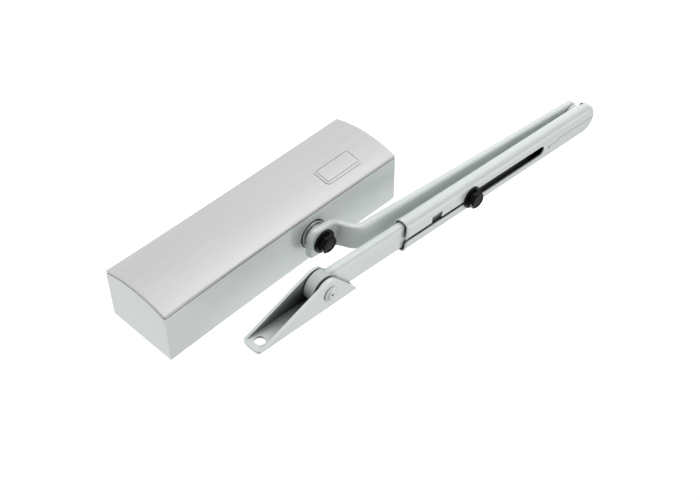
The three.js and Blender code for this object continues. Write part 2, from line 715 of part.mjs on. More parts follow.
// A flat blade with a drum round its eye.
function forearmRod() {
  const plan = outline([[0, -rod.half], [rod.end, -rod.half], [rod.end, rod.half], [0, rod.half]]);
  const blade = pillow(plan, rod.bottom, rod.top, rod.corner);
  const drum = disc(eye.radius, eye.bottom, eye.top, { segments: 40 });
  const eyeHole = disc(eye.bush + gap, eye.bottom - 1, eye.top + 1);
  const clampHole = disc(clamp.shank + gap, rod.bottom - 1, rod.top + 1,
    { at: [clamp.along, clamp.offset, 0] });
  return cut(join(blade, drum), eyeHole, clampHole);
}

const atClamp = { at: [clamp.along, clamp.offset, 0] };
place('forearm_channel', forearmChannel(), 'paint', foreLever);
place('forearm_rod', forearmRod(), 'paint', foreLever);
const clampWasherTop = channel.top + gap + washerThickness;
const clampHead = clampWasherTop + gap;
place('clamp_washer', ring(clamp.shank + gap, clamp.washer, channel.top + gap, clampWasherTop, atClamp),
  'black', foreLever);
place('clamp_bolt', hexScrew(
  clamp.shank, rod.bottom + 0.6, clamp.head, clampHead, clampHead + clamp.height, atClamp,
), 'black', foreLever);

// ---- Shoe -------------------------------------------------------------------------------------------

// A shoe wall: sloped from the tip up to a round top over the pivot, then down to the heel.
function shoeWallPlan() {
  const plateTop = shoe.base + shoe.plate;
  const apex = { along: -1.2, across: 0.2, radius: 11.6 };
  const tipSlope = 22.1 * degrees;
  const heelSlope = 44.5 * degrees;
  const shape = new THREE.Shape();
  shape.moveTo(shoe.tip + shoe.corner, shoe.base);
  shape.lineTo(shoe.heel, shoe.base);
  shape.lineTo(shoe.heel, plateTop);
  shape.absarc(apex.along, apex.across, apex.radius, Math.PI / 2 - heelSlope, Math.PI / 2 + tipSlope);
  shape.lineTo(shoe.tip + shoe.corner, plateTop);
  shape.closePath();
  return shape;
}

function shoeBasePlan() {
  const shape = new THREE.Shape();
  const round = shoe.corner;
  const bulge = 3;
  shape.moveTo(shoe.heel, shoe.bottom);
  shape.lineTo(shoe.heel, shoe.top);
  shape.lineTo(shoe.tip + round, shoe.top);
  shape.quadraticCurveTo(shoe.tip, shoe.top, shoe.tip, shoe.top - round);
  shape.quadraticCurveTo(shoe.tip - bulge, (shoe.top + shoe.bottom) / 2, shoe.tip, shoe.bottom + round);
  shape.quadraticCurveTo(shoe.tip, shoe.bottom, shoe.tip + round, shoe.bottom);
  shape.closePath();
  return shape;
}

function shoeBracket() {
  const walls = [
    prism(shoeWallPlan(), shoe.bottom, shoe.bottom + shoe.wall),
    prism(shoeWallPlan(), shoe.top - shoe.wall, shoe.top),
  ];
  const base = prism(shoeBasePlan(), -shoe.base - shoe.plate, -shoe.base, alongY, 6);
  const middle = (shoe.bottom + shoe.top) / 2;
  const screwHoles = [shoeHole.tip, shoeHole.heel].map((along) => disc(shoeHole.radius, 5, 25,
    { at: [along, 0, middle], turn: alongY, segments: 16 }));
  const pivotHole = disc(rivetRadius + gap, shoe.bottom - 1, shoe.top + 1);
  return cut(join(base, ...walls), ...screwHoles, pivotHole);
}

const wallTop = shoe.top - shoe.wall;
place('shoe_bracket', shoeBracket(), 'paint', shoeLever);
place('shoe_rivet', revolve([
  [0, shoe.bottom + 0.2], [rivetRadius, shoe.bottom + 0.2], [rivetRadius, shoe.top + gap],
  [5.7, shoe.top + gap], [5.7, shoe.top + 0.9], [4.6, shoe.top + 2.2], [3, shoe.top + 2.2],
  [1.2, shoe.top + 0.6], [0, shoe.top + 0.6],
]), 'paint', shoeLever);
place('shoe_rear_washer', ring(rivetRadius + gap, 9, shoe.bottom + shoe.wall + gap, eye.bottom - gap),
  'steel', shoeLever);
place('shoe_front_washer', ring(rivetRadius + gap, 10.6, wallTop - gap - 1.6, wallTop - gap),
  'paint', shoeLever);
place('eye_bush', ring(rivetRadius + gap, eye.bush, eye.bottom, wallTop - 2 * gap - 1.6), 'bronze', foreLever);

export default closer;
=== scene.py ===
import json
import math

import bmesh
import bpy
from mathutils import Matrix, Vector


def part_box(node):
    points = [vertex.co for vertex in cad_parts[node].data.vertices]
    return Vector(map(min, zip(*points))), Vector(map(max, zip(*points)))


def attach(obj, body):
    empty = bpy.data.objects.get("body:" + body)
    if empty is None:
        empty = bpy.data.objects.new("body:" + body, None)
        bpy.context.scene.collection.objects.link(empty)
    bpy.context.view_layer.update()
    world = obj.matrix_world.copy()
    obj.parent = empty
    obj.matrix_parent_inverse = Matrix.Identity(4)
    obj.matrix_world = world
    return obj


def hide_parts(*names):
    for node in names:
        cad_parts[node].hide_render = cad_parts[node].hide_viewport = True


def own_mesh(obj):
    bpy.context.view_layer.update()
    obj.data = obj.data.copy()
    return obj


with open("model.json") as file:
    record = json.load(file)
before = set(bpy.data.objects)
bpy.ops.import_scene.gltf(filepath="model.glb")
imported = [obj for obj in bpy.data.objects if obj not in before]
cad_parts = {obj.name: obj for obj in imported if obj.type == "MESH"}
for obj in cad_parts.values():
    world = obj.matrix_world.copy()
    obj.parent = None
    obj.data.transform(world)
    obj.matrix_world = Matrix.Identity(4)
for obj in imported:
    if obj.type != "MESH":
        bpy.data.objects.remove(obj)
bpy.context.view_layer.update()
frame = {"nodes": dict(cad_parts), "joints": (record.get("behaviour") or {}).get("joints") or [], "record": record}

# Shapes are worked out in millimetres, in the row frame, and written in metres.
MM = 0.001
TURN = 2 * math.pi
OVERRUN = 5.0  # how far most cutters reach past what they cut
SHORT_EDGE = 0.02  # shorter edges would hold a bevel back
SPECK = 0.001  # the size of what a bevel leaves where it runs out
SAME_POINT = 1e-4  # closer points are one point
FLAT = math.radians(1)  # faces that turn less than this are one flat face
CREASE = math.radians(40)  # edges that turn more than this are shaded sharp

# Round shapes are made about Z, and these turns lay them along Z, X or -Y.
AXIS_Z = Matrix.Identity(4)
AXIS_X = Matrix.Rotation(math.pi / 2, 4, "Y")
AXIS_Y = Matrix.Rotation(math.pi / 2, 4, "X")

record = frame["record"]
finish_of = {part["node"]: part["material_slot"] for part in record["subparts"]}
body_of = {node: body for body, nodes in record["behaviour"]["bodies"].items() for node in nodes}


# ---- Places taken from the frame ----

def extent(node):
    low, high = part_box(node)
    return low / MM, high / MM


def joint_named(name):
    return next(joint for joint in frame["joints"] if joint["name"] == name)


def joint_point(name):
    return Vector(joint_named(name)["pos_m"]) / MM


def upright_at(point):
    return Matrix.Translation((point.x, point.y, 0))


def lever_frame(origin, angle):
    return upright_at(origin) @ Matrix.Rotation(angle, 4, "Z")


spindle = joint_point("spindle_turn")
elbow = joint_point("elbow")
shoe_pivot = joint_point("shoe_pivot")
clamp = joint_point("clamp_bolt_turn")

main_reach = (elbow - spindle).xy
fore_reach = (elbow - shoe_pivot).xy
shoe_normal = next(mount["axis"] for mount in record["mounts"] if mount["name"] == "shoe_face")
fore_angle = math.atan2(fore_reach.y, fore_reach.x)
main_lever = lever_frame(spindle, math.atan2(main_reach.y, main_reach.x))
fore_lever = lever_frame(shoe_pivot, fore_angle)
shoe_lever = lever_frame(shoe_pivot, math.atan2(shoe_normal[0], -shoe_normal[1]))
on_spindle = upright_at(spindle)
at_elbow = upright_at(elbow)
at_pivot = upright_at(shoe_pivot)
on_bore = Matrix.Translation((0, spindle.y, 0)) @ AXIS_X


# ---- Mesh building ----

def shape(name, mesh_data, place=AXIS_Z):
    """A new object from a bmesh in millimetres, put in its place in the row frame."""
    bmesh.ops.remove_doubles(mesh_data, verts=mesh_data.verts, dist=SAME_POINT)
    bmesh.ops.recalc_face_normals(mesh_data, faces=mesh_data.faces)
    mesh_data.transform(Matrix.Scale(MM, 4) @ place)
    mesh = bpy.data.meshes.new(name)
    mesh_data.to_mesh(mesh)
    mesh_data.free()
    piece = bpy.data.objects.new(name, mesh)
    bpy.context.scene.collection.objects.link(piece)
    return piece


def stack(rings, closed=False, capped=True):
    """Joins rings of matched points into a skin; a closed stack meets its own start."""
    mesh_data = bmesh.new()
    loops = [[mesh_data.verts.new(point) for point in ring] for ring in rings]
    count = len(loops[0])
    following = loops[1:] + loops[:1] if closed else loops[1:]
    for loop, after in zip(loops, following):
        for i in range(count):
            j = (i + 1) % count
            mesh_data.faces.new((loop[i], loop[j], after[j], after[i]))
    if capped and not closed:
        mesh_data.faces.new(loops[0][::-1])
        mesh_data.faces.new(loops[-1])
    return mesh_data


def revolved(profile, segments=96):
    """Turns [radius, height] points about Z; a profile that leaves the axis closes on itself."""
    mesh_data = bmesh.new()
    rings = []
    for radius, height in profile:
        count = segments if radius > 0 else 1
        angles = [TURN * i / count for i in range(count)]
        points = [(radius * math.cos(a), radius * math.sin(a), height) for a in angles]
        rings.append([mesh_data.verts.new(point) for point in points])
    on_axis = profile[0][0] == 0
    pairs = zip(rings, rings[1:]) if on_axis else zip(rings, rings[1:] + rings[:1])
    for ring, after in pairs:
        for i in range(segments):
            j = (i + 1) % segments
            corners = [ring[i % len(ring)], ring[j % len(ring)], after[j % len(after)], after[i % len(after)]]
            corners = list(dict.fromkeys(corners))
            if len(corners) > 2:
                mesh_data.faces.new(corners)
    return mesh_data


def disc(radius, low, high, segments=96):
    return revolved([(0, low), (radius, low), (radius, high), (0, high)], segments)


def ring(inner, outer, low, high):
    return revolved([(inner, low), (outer, low), (outer, high), (inner, high)])


def torus(radius, thickness, height, steps=16):
    """A round ring of wire or rubber about Z."""
    angles = [TURN * i / steps for i in range(steps)]
    half = thickness / 2
    return revolved([(radius + half * math.cos(a), height + half * math.sin(a)) for a in angles])


def thread(crest, root, start, pitch, turns):
    """Profile points for the ridges of a screw."""
    points = []
    for turn in range(turns):
        ridge = start + turn * pitch
        points += [(crest, ridge), (root, ridge + pitch / 2)]
    return points


def prism(points, low, high):
    return stack([[(x, y, low) for x, y in points], [(x, y, high) for x, y in points]])


def block(x, y, z):
    return prism([(x[0], y[0]), (x[1], y[0]), (x[1], y[1]), (x[0], y[1])], z[0], z[1])


def arc(centre, radius, start, end, steps=24):
    """Points from one angle to another, in degrees."""
    angles = [math.radians(start + (end - start) * i / steps) for i in range(steps + 1)]
    return [(centre[0] + radius * math.cos(a), centre[1] + radius * math.sin(a)) for a in angles]


def inset(points, depth):
    """Moves a counter-clockwise outline inwards, with mitred corners."""
    moved = []
    for i, here in enumerate(points):
        first = (here - points[i - 1]).normalized()
        second = (points[(i + 1) % len(points)] - here).normalized()
        first_normal = Vector((-first.y, first.x))
        second_normal = Vector((-second.y, second.x))
        mitre = (first_normal + second_normal) / (1 + first_normal.dot(second_normal))
        moved.append(here + depth * mitre)
    return moved


def slab(right, left, thickness, rounding, steps=6):
    """A plate between two edge lines of matched points, with rounded rims and its middle at Z = 0."""
    outline = [Vector(point) for point in right + left[::-1]]
    profile = []
    for i in range(steps + 1):
        angle = math.pi / 2 * i / steps
        profile.append((thickness / 2 - rounding * (1 - math.cos(angle)), rounding * (1 - math.sin(angle))))
    profile += [(-height, depth) for height, depth in profile[::-1]]
    rings = []
    for height, depth in profile:
        rings.append([(point.x, point.y, height) for point in inset(outline, depth)])
    mesh_data = stack(rings, capped=False)
    mesh_data.verts.ensure_lookup_table()
    count = len(outline)
    for first in (0, len(mesh_data.verts) - count):
        for i in range(len(right) - 1):
            corners = (i, i + 1, count - 2 - i, count - 1 - i)
            mesh_data.faces.new([mesh_data.verts[first + corner] for corner in corners])
    return mesh_data


def mirrored(right):
    return [(x, -y) for x, y in right]


def round_end(centre, radius, steps=18):
    """The right half of a half-round end, stopping half a step short of its tip."""
    half_step = 45 / steps
    return [(centre, -radius)] + arc((centre, 0), radius, half_step - 90, -half_step, steps - 1)


def settle(piece):
    """Makes the result of the modifiers the piece's own mesh."""
    bpy.context.view_layer.update()
    evaluated = piece.evaluated_get(bpy.context.evaluated_depsgraph_get())
    mesh = bpy.data.meshes.new_from_object(evaluated)
    piece.modifiers.clear()
    piece.data = mesh


def combine(piece, operation, tools):
    for tool in tools:
        modifier = piece.modifiers.new("combine", "BOOLEAN")
        modifier.operation = operation
        modifier.solver = "EXACT"
        modifier.object = tool
    settle(piece)
    for tool in tools:
        bpy.data.objects.remove(tool)
    return piece


def cut(piece, *tools):
    return combine(piece, "DIFFERENCE", tools)


def join(piece, *tools):
    return combine(piece, "UNION", tools)


def refined(node):
    """A copy of a CAD node's mesh with its flat faces made whole."""
    mesh_data = bmesh.new()
    mesh_data.from_mesh(frame["nodes"][node].data)
    bmesh.ops.remove_doubles(mesh_data, verts=mesh_data.verts, dist=SPECK * MM)
    bmesh.ops.dissolve_limit(mesh_data, angle_limit=FLAT, verts=mesh_data.verts, edges=mesh_data.edges)
    mesh_data.transform(Matrix.Scale(1 / MM, 4))
    return shape(node, mesh_data)


def clean(piece, distance):
    """Merges points closer than a distance in millimetres, and drops the faces that this empties."""
    mesh_data = bmesh.new()
    mesh_data.from_mesh(piece.data)
    bmesh.ops.remove_doubles(mesh_data, verts=mesh_data.verts, dist=distance * MM)
    bmesh.ops.dissolve_degenerate(mesh_data, edges=mesh_data.edges, dist=distance * MM)
    mesh_data.to_mesh(piece.data)
    mesh_data.free()


def dress(piece, node, bevel=0.3, limit=35, segments=3, place=AXIS_Z):
    """Gives a finished shape its place, rounded edges, finish and body."""
    piece.name = f"{node}.detail"
    piece.data.transform(Matrix.Scale(MM, 4) @ place @ Matrix.Scale(1 / MM, 4))
    if bevel:
        clean(piece, SHORT_EDGE)
        modifier = piece.modifiers.new("edges", "BEVEL")
        modifier.width = bevel * MM
        modifier.segments = segments
        modifier.limit_method = "ANGLE"
        modifier.angle_limit = math.radians(limit)
        modifier.miter_outer = "MITER_ARC"
        settle(piece)
        clean(piece, SPECK)
    piece.data.polygons.foreach_set("use_smooth", [True] * len(piece.data.polygons))
    piece.data.set_sharp_from_angle(angle=CREASE)
    normals = piece.modifiers.new("normals", "WEIGHTED_NORMAL")
    normals.keep_sharp = True
    piece.data.materials.clear()
    piece.data.materials.append(finishes[finish_of[node]])
    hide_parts(node)
    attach(piece, body_of[node])
    return piece


# ---- Finishes ----

class Shader:
    """A node tree with one Principled shader, and short calls for the nodes that feed it."""

    def __init__(self, name, **values):
        self.material = bpy.data.materials.new(name)
        self.material.use_nodes = True
        self.tree = self.material.node_tree
        self.principled = self.tree.nodes["Principled BSDF"]
        for socket, value in values.items():
            self.principled.inputs[socket.replace("_", " ")].default_value = value

    def node(self, kind, inputs=None, **settings):
        node = self.tree.nodes.new(kind)
        for setting, value in settings.items():
            setattr(node, setting, value)
        for socket, value in (inputs or {}).items():
            if isinstance(value, bpy.types.NodeSocket):
                self.tree.links.new(value, node.inputs[socket])
            else:
                node.inputs[socket].default_value = value
        return node

    def feed(self, socket, value):
        self.tree.links.new(value, self.principled.inputs[socket])

    def finished(self, colour, roughness, normal):
        self.feed("Base Color", colour)
        self.feed("Roughness", roughness)
        self.feed("Normal", normal)
        return self.material

    def noise(self, scale, detail=3, roughness=0.55, stretch=(1, 1, 1)):
        """A cloudy pattern of so many grains a metre; small stretches draw it out."""
        place = self.node("ShaderNodeTexCoord").outputs["Object"]
        stretched = self.node("ShaderNodeMapping", {"Vector": place, "Scale": stretch}).outputs["Vector"]
        return self.node("ShaderNodeTexNoise", {
            "Vector": stretched, "Scale": scale, "Detail": detail, "Roughness": roughness,
        }).outputs["Fac"]

    def remap(self, value, low, high, start=0.3, end=0.7):
        return self.node("ShaderNodeMapRange", {
            "Value": value, "From Min": start, "From Max": end, "To Min": low, "To Max": high,
        }).outputs["Result"]

    def maths(self, operation, first, second):
        return self.node("ShaderNodeMath", {0: first, 1: second}, operation=operation).outputs[0]

    def blend(self, factor, first, second):
        mix = self.node("ShaderNodeMix", {"Factor": factor}, data_type="RGBA")
        colour_a, colour_b, result = mix.inputs[6], mix.inputs[7], mix.outputs[2]
        for socket, value in ((colour_a, first), (colour_b, second)):
            if isinstance(value, bpy.types.NodeSocket):
                self.tree.links.new(value, socket)
            else:
                socket.default_value = (*value, 1)
        return result

    def bump(self, height, strength, distance, normal=None):
        inputs = {"Height": height, "Strength": strength, "Distance": distance}
        if normal is not None:
            inputs["Normal"] = normal
        return self.node("ShaderNodeBump", inputs).outputs["Normal"]

    def edges(self, radius):
        """Near 1 on outer and inner edges, and 0 on open faces."""
        soft = self.node("ShaderNodeBevel", {"Radius": radius}, samples=6).outputs["Normal"]
        true = self.node("ShaderNodeNewGeometry").outputs["Normal"]
        match = self.node("ShaderNodeVectorMath", {0: soft, 1: true}, operation="DOT_PRODUCT")
        return self.remap(match.outputs["Value"], 1, 0, 0.75, 0.99)

    def mottled(self, pattern, first, second):
        """Two colours mixed by a pattern."""
        return self.blend(self.remap(pattern, 0, 1), first, second)

    def worn_and_highlit(self, colour, edge_colour, radius, amount=0.5):
        """A brighter colour on the edges, for wear and a painted edge highlight."""
        return self.blend(self.maths("MULTIPLY", self.edges(radius), amount), colour, edge_colour)

    def crevices(self, distance, alone=False):
        """Near 0 deep inside gaps, and 1 in the open; alone counts only the piece's own walls."""
        kind = "ShaderNodeAmbientOcclusion"
        return self.node(kind, {"Distance": distance}, samples=8, only_local=alone).outputs["AO"]

    def with_painted_shade(self, colour, shade, hollow=0.03, gap=0.004):
        """Painted shade in corners, in the piece's hollows and in gaps between pieces."""
        corner_reach = 0.015
        corners = self.remap(self.crevices(corner_reach, alone=True), 0.8, 0, 0.3, 0.95)
        colour = self.blend(corners, colour, shade)
        inside = self.remap(self.crevices(hollow, alone=True), 0, 1, 0.15, 0.6)
        between = self.remap(self.crevices(gap), 0, 1, 0.15, 0.6)
        return self.blend(self.maths("MINIMUM", inside, between), shade, colour)


def silver_paint():
    """Glossy stove enamel: slight orange peel, fine metal flake, and a lighter colour on its edges for wear and a
    painted edge highlight; painted shade in corners and gaps and on the rod inside the channel.
    """
    shader = Shader("silver_paint", Metallic=0.12, Coat_Weight=0.25, Coat_Roughness=0.15)
    tone = shader.noise(30, 4)
    flake = shader.noise(4200, 2)
    colour = shader.mottled(tone, (0.62, 0.67, 0.655), (0.655, 0.70, 0.685))
    colour = shader.blend(shader.remap(flake, 0, 0.14), colour, (0.86, 0.88, 0.87))
    # lighter edges: wear together with a painted edge highlight
    colour = shader.worn_and_highlit(colour, (0.87, 0.88, 0.87), 0.0009)
    # painted shade: the rod is coloured dark inside the channel, and a little on its drum
    rod_shade_mask = shader.node("ShaderNodeAttribute", attribute_name="rod_shade").outputs["Fac"]
    colour = shader.blend(rod_shade_mask, colour, (0.085, 0.092, 0.09))
    # painted shade in corners, hollows and gaps between pieces
    return shader.finished(
        shader.with_painted_shade(colour, (0.012, 0.013, 0.013)),
        shader.remap(shader.noise(260, 5), 0.3, 0.42),
        shader.bump(shader.noise(700, 3), 0.12, 0.00008),
    )


def brushed_aluminium():
    """Satin anodised sheet, brushed along X."""
    shader = Shader("brushed_aluminium", Metallic=0.85, Anisotropic=0.4)
    hairs = shader.noise(900, 3, 0.7, (0.02, 1, 1))
    bands = shader.noise(120, 3, 0.6, (0.03, 1, 1))
    cloud = shader.noise(22, 3, 0.5, (0.35, 1, 1))
    colour = shader.mottled(hairs, (0.45, 0.448, 0.446), (0.505, 0.503, 0.50))
    colour = shader.blend(shader.remap(bands, 0, 0.5), colour, (0.54, 0.537, 0.534))
    colour = shader.blend(shader.remap(cloud, 0, 0.18), colour, (0.40, 0.401, 0.405))
    # lighter edges: wear together with a painted edge highlight
    colour = shader.worn_and_highlit(colour, (0.74, 0.74, 0.74), 0.0007)
    tangent = shader.node("ShaderNodeTangent", direction_type="RADIAL", axis="X").outputs["Tangent"]
    shader.feed("Tangent", tangent)
    grain = shader.bump(hairs, 0.22, 0.00006)
    # painted shade in corners and in the seams round the plate
    return shader.finished(
        shader.with_painted_shade(colour, (0.02, 0.02, 0.02), gap=0.0025),
        shader.remap(hairs, 0.36, 0.47),
        shader.bump(bands, 0.08, 0.0001, grain),
    )


def die_cast():
    """Blasted aluminium casting with a coarse skin and rubbed edges."""
    shader = Shader("die_cast", Metallic=0.7)
    skin = shader.noise(900, 5)
    patches = shader.noise(60, 4)
    colour = shader.mottled(patches, (0.34, 0.345, 0.35), (0.47, 0.475, 0.48))
    colour = shader.worn_and_highlit(colour, (0.72, 0.72, 0.72), 0.0012, 0.6)
    return shader.finished(
        colour,
        shader.remap(skin, 0.45, 0.68),
        shader.bump(skin, 0.5, 0.00025),
    )


def bright_steel():
    """Zinc-plated turned steel with faint tool marks and stains."""
    shader = Shader("bright_steel", Metallic=0.95)
    marks = shader.noise(2400, 3, 0.6, (1, 1, 0.25))
    stains = shader.noise(140, 4)
    colour = shader.mottled(stains, (0.58, 0.59, 0.60), (0.74, 0.74, 0.735))
    # lighter edges: wear together with a painted edge highlight
    colour = shader.worn_and_highlit(colour, (0.88, 0.88, 0.88), 0.0005)
    # painted shade in corners and gaps
    return shader.finished(
        shader.with_painted_shade(colour, (0.02, 0.02, 0.02), gap=0.002),
        shader.remap(marks, 0.24, 0.42),
        shader.bump(marks, 0.2, 0.00005),
    )


def black_oxide():
    """Oiled black oxide on steel, lighter on its sharpest edges, where wear shows the metal and a painted edge
    highlight is added.
    """
    shader = Shader("black_oxide", Specular_IOR_Level=0.1)
    grain = shader.noise(1600, 4)
    colour = shader.mottled(shader.noise(300, 3), (0.003, 0.003, 0.003), (0.009, 0.009, 0.0095))
    # lighter sharpest edges: wear to the metal together with painted edge highlights
    worn_and_glinting = shader.maths("MULTIPLY", shader.edges(0.0004), shader.remap(shader.noise(700, 3), 0.1, 0.8))
    return shader.finished(
        shader.blend(worn_and_glinting, colour, (0.22, 0.215, 0.21)),
        shader.remap(grain, 0.14, 0.3),
        shader.bump(grain, 0.3, 0.00006),
    )


def spring_steel():
    """Dark oil-tempered wire with drawing marks and scale."""
    shader = Shader("spring_steel", Metallic=0.85)
    scale = shader.noise(500, 4)
    return shader.finished(
        shader.mottled(scale, (0.10, 0.105, 0.115), (0.2, 0.2, 0.205)),
        shader.remap(scale, 0.3, 0.5),
        shader.bump(scale, 0.25, 0.00008),
    )


def seal_rubber():
    """Matt nitrile rubber with a dusty bloom."""
    shader = Shader("seal_rubber", Specular_IOR_Level=0.35)
    bloom = shader.noise(420, 4)
    return shader.finished(
        shader.mottled(bloom, (0.012, 0.012, 0.012), (0.035, 0.035, 0.036)),
        shader.remap(bloom, 0.6, 0.85),
        shader.bump(shader.noise(2600, 2), 0.3, 0.00006),
    )


def cap_plastic():
    """Light grey moulded nylon with a spark-eroded texture."""
    shader = Shader("cap_plastic", Specular_IOR_Level=0.45)
    texture = shader.noise(1900, 3)
    colour = shader.mottled(shader.noise(50, 3), (0.50, 0.53, 0.525), (0.57, 0.595, 0.59))
    return shader.finished(
        colour,
        shader.remap(texture, 0.42, 0.6),
        shader.bump(texture, 0.35, 0.0001),
    )


def bronze():
    """Sintered bronze and turned brass, slightly tarnished."""
    shader = Shader("bronze", Metallic=0.9)
    pores = shader.noise(1500, 4)
    colour = shader.mottled(shader.noise(180, 4), (0.36, 0.22, 0.09), (0.58, 0.40, 0.18))
    return shader.finished(
        colour,
        shader.remap(pores, 0.32, 0.55),
        shader.bump(pores, 0.3, 0.0001),
    )


finishes = {make.__name__: make() for make in (
    silver_paint, brushed_aluminium, die_cast, bright_steel, black_oxide,
    spring_steel, seal_rubber, cap_plastic, bronze,
)}

# ---- Cover and faceplate ----

cover_low, cover_high = extent("cover_shell")
plate_low = extent("faceplate")[0]
half_length = cover_high.x
half_height = cover_high.z
rim = cover_high.y
cover_bow = 1.0
cover_wall = 1.6
plate_crown = 5.0
plate_thickness = 2.0
cover_depth = cover_low.y - plate_low.y
arch_radius = (half_height ** 2 + plate_crown ** 2) / (2 * plate_crown)
arch_centre = plate_low.y + arch_radius
opening_radius = 11.8


def arch(depth, z):
    """Y of the arched front at a depth below the faceplate's surface."""
    return arch_centre - math.sqrt((arch_radius - depth) ** 2 - z ** 2)


def bowed(section, trim, steps=24):
    """Lofts a section between the ends; section(h) gives [Y, Z] points for a half height h."""
    rings = []
    for i in range(steps + 1):
        t = 2 * i / steps - 1
        x = t * (half_length - trim)
        half = half_height - trim - cover_bow * (1 - t ** 2)
        rings.append([(x, y, z) for y, z in section(half)])
    return stack(rings)


def arch_line(depth, half, steps=28):
    heights = [half * (1 - 2 * i / steps) for i in range(steps + 1)]
    return [(arch(depth, z), z) for z in heights]


def cover_shell():
    inner_depth = cover_depth + cover_wall
    back = rim + OVERRUN
    outside = bowed(lambda half: [(rim, half), *arch_line(cover_depth, half), (rim, -half)], 0)
    inside = bowed(lambda half: [(back, half), *arch_line(inner_depth, half), (back, -half)], cover_wall)
    reach = half_height + 2 * OVERRUN
    opening = shape("opening", disc(opening_radius, -reach, reach), on_spindle)
    return cut(shape("cover", outside), shape("inside", inside), opening)


def faceplate():
    def section(half):
        return [*arch_line(0, half), *arch_line(plate_thickness, half)[::-1]]
    return shape("plate", bowed(section, 0))


def badge_pad():
    """A blank raised pad with one plain groove round it, bent to the faceplate's arch."""
    low, high = extent("badge_pad")
    middle = (low + high) / 2
    seat, top = 0.02, 0.45
    pad_corner, rounding = 3.0, 0.12
    groove_from, groove_to, groove_depth = 1.4, 2.2, 0.3

    def layer(margin, floor, roof):
        x_half = (high.x - low.x) / 2 - margin
        z_half = (high.z - low.z) / 2 - margin
        corner = pad_corner - margin
        turn = arc((z_half - corner, x_half - corner), corner, 0, 90, 8)
        far = [(z, -x) for z, x in turn[::-1]]
        near = [(-z, x) for z, x in far[::-1]]
        steps = 12
        start = corner - z_half
        straight = [(start * (1 - 2 * i / steps), -x_half) for i in range(steps + 1)]
        right = near[:-1] + straight + far[1:]
        mesh_data = slab(right, mirrored(right), roof - floor, rounding, 3)
        for vertex in mesh_data.verts:
            z, x, height = vertex.co
            z += middle.z
            vertex.co = (middle.x + x, arch(0, z) - height - (roof + floor) / 2, z)
        return shape("layer", mesh_data)

    pad = layer(0, seat, top)
    groove = cut(layer(groove_from, top - groove_depth, top + 1), layer(groove_to, top - 1, top + 2))
    return cut(pad, groove)


dress(cover_shell(), "cover_shell", 0.45)
dress(faceplate(), "faceplate", 0.75, segments=4)
dress(badge_pad(), "badge_pad", 0.08, 50, 2)
for side in ("left", "right"):
    dress(refined(f"cover_clip_{side}"), f"cover_clip_{side}", 0.2)


# ---- Round pieces on the spindle and in the bore ----

def upright_ring(node, inner, place, bevel=0.3):
    low, high = extent(node)
    outer = (high.x - low.x) / 2
    return dress(shape(node, ring(inner, outer, low.z, high.z)), node, bevel, place=place)


def bore_ring(node, inner, bevel):
    low, high = extent(node)
    outer = (high.z - low.z) / 2
    return dress(shape(node, ring(inner, outer, low.x, high.x), on_bore), node, bevel)


def oring(node, place=on_bore, steps=16):
    low, high = extent(node)
    thickness = high.x - low.x
    radius = (high.z - low.z - thickness) / 2
    return dress(shape(node, torus(radius, thickness, (low.x + high.x) / 2, steps), place), node, 0)


shaft_radius = 7.5
shaft_gap = 0.3
for end in ("upper", "lower"):
    for kind, edge in (("bearing", 0.25), ("spindle_seal", 0.4), ("retaining_ring", 0.35)):
        upright_ring(f"{end}_{kind}", shaft_radius + shaft_gap, on_spindle, edge)


def lower_spindle_cap():
    low, high = extent("lower_spindle_cap")
    radius = (high.x - low.x) / 2
    wall = 0.9
    base = 1.6
    return shape("cap", revolved([
        (0, low.z), (radius - base, low.z), (radius, low.z + base), (radius, high.z),
        (radius - wall, high.z), (radius - wall, low.z + base), (0, low.z + base),
    ]), on_spindle)


dress(lower_spindle_cap(), "lower_spindle_cap", 0.3, 25)

# ---- Cylinder body, plugs and valves ----

body_low, body_high = extent("cylinder_body")
bore_radius = 16.5
valve_hole = 2.6


def rounded_block(x, y, z, corner):
    """A block along Y whose four corners, seen along Y, are rounded."""
    centre_x, centre_z = (x[0] + corner, x[1] - corner), (z[0] + corner, z[1] - corner)
    points = []
    for quarter, (right, top) in enumerate(((1, 1), (0, 1), (0, 0), (1, 0))):
        points += arc((centre_x[right], centre_z[top]), corner, 90 * quarter, 90 * quarter + 90, 6)
    return shape("block", stack([[(px, height, pz) for px, pz in points] for height in y]))


